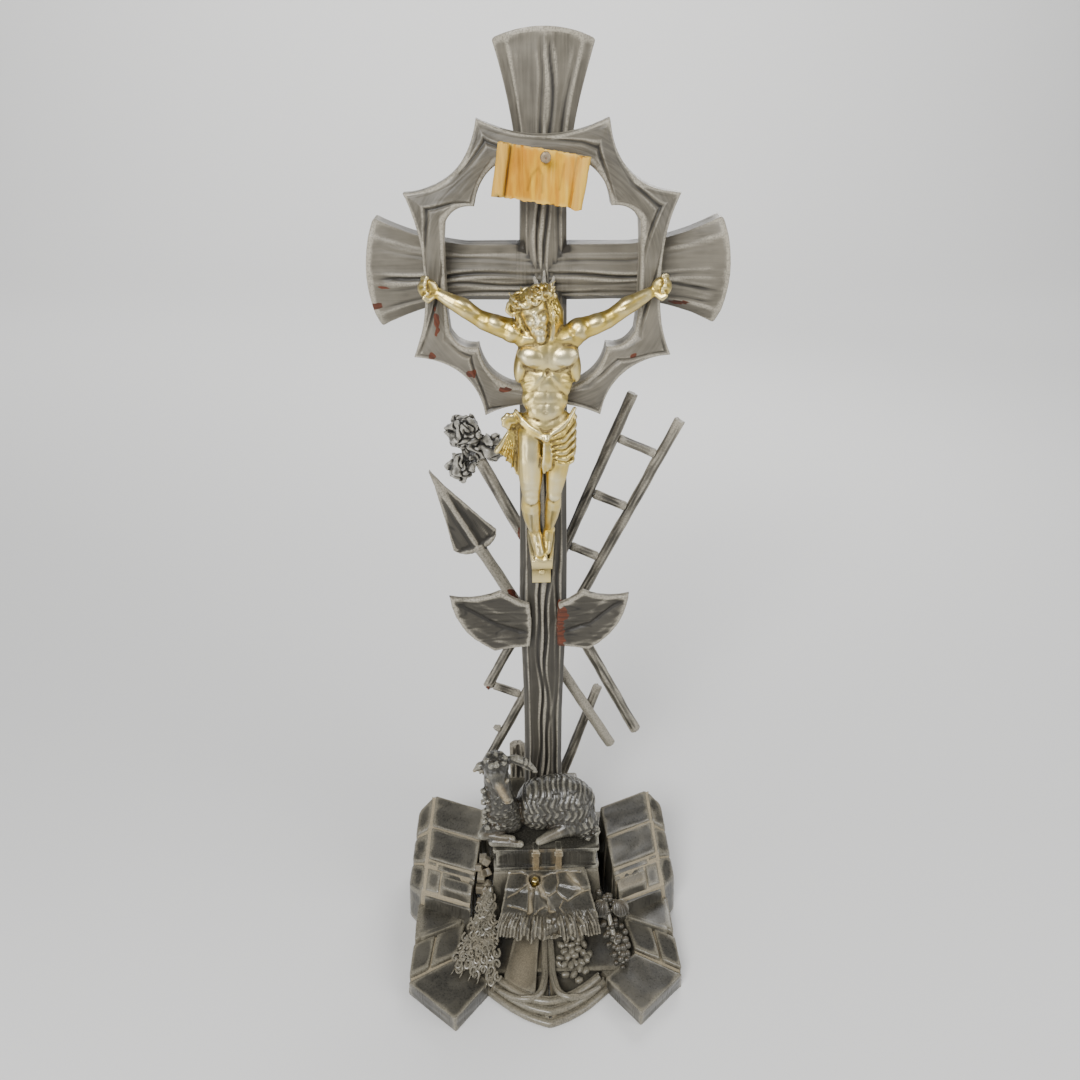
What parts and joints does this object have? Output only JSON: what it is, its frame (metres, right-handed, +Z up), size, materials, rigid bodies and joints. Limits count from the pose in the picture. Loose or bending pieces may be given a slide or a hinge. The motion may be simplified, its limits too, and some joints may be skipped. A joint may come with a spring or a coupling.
{
  "type": "crucifix",
  "caption": "Standing table crucifix of ebonised carved wood on a masonry plinth, with a cast brass figure, thorn ring, title scroll, spear, reed, ladder and a lamb on a book.",
  "frame": {"origin": "on the underside, straight below the axis of the post", "axes": "+Z up, viewer in front at -Y, +X to the viewer's right"},
  "size_m": [0.1699, 0.1509, 0.484],
  "materials": {
    "ebonised_wood": "satin carved, dusty in the recesses",
    "brass": "worn cast, pale",
    "scroll_wood": "honey varnish",
    "nail_iron": "dark",
    "grey_tuft": "matt grey"
  },
  "bodies": {
    "root": {"blade_left": "ebonised_wood", "blade_right": "ebonised_wood", "cross": "ebonised_wood", "grape_spray": "ebonised_wood", "ladder_rail_left": "ebonised_wood", "ladder_rail_right": "ebonised_wood", "ladder_rung_1": "ebonised_wood", "ladder_rung_2": "ebonised_wood", "ladder_rung_3": "ebonised_wood", "ladder_rung_4": "ebonised_wood", "ladder_rung_5": "ebonised_wood", "ladder_rung_6": "ebonised_wood", "ladder_rung_stump": "ebonised_wood", "lamb": "ebonised_wood", "plinth": "ebonised_wood", "reed": "ebonised_wood", "spear": "ebonised_wood", "sponge": "ebonised_wood", "spring_rock": "ebonised_wood", "strut": "ebonised_wood", "stub": "ebonised_wood", "thorn_ring": "ebonised_wood", "wheat_spray": "ebonised_wood", "corpus": "brass", "footrest": "brass", "footrest_nail": "brass", "rock_pin": "brass", "scroll": "scroll_wood", "scroll_nail": "nail_iron", "crossing_tuft": "grey_tuft"}
  },
  "joints": []
}
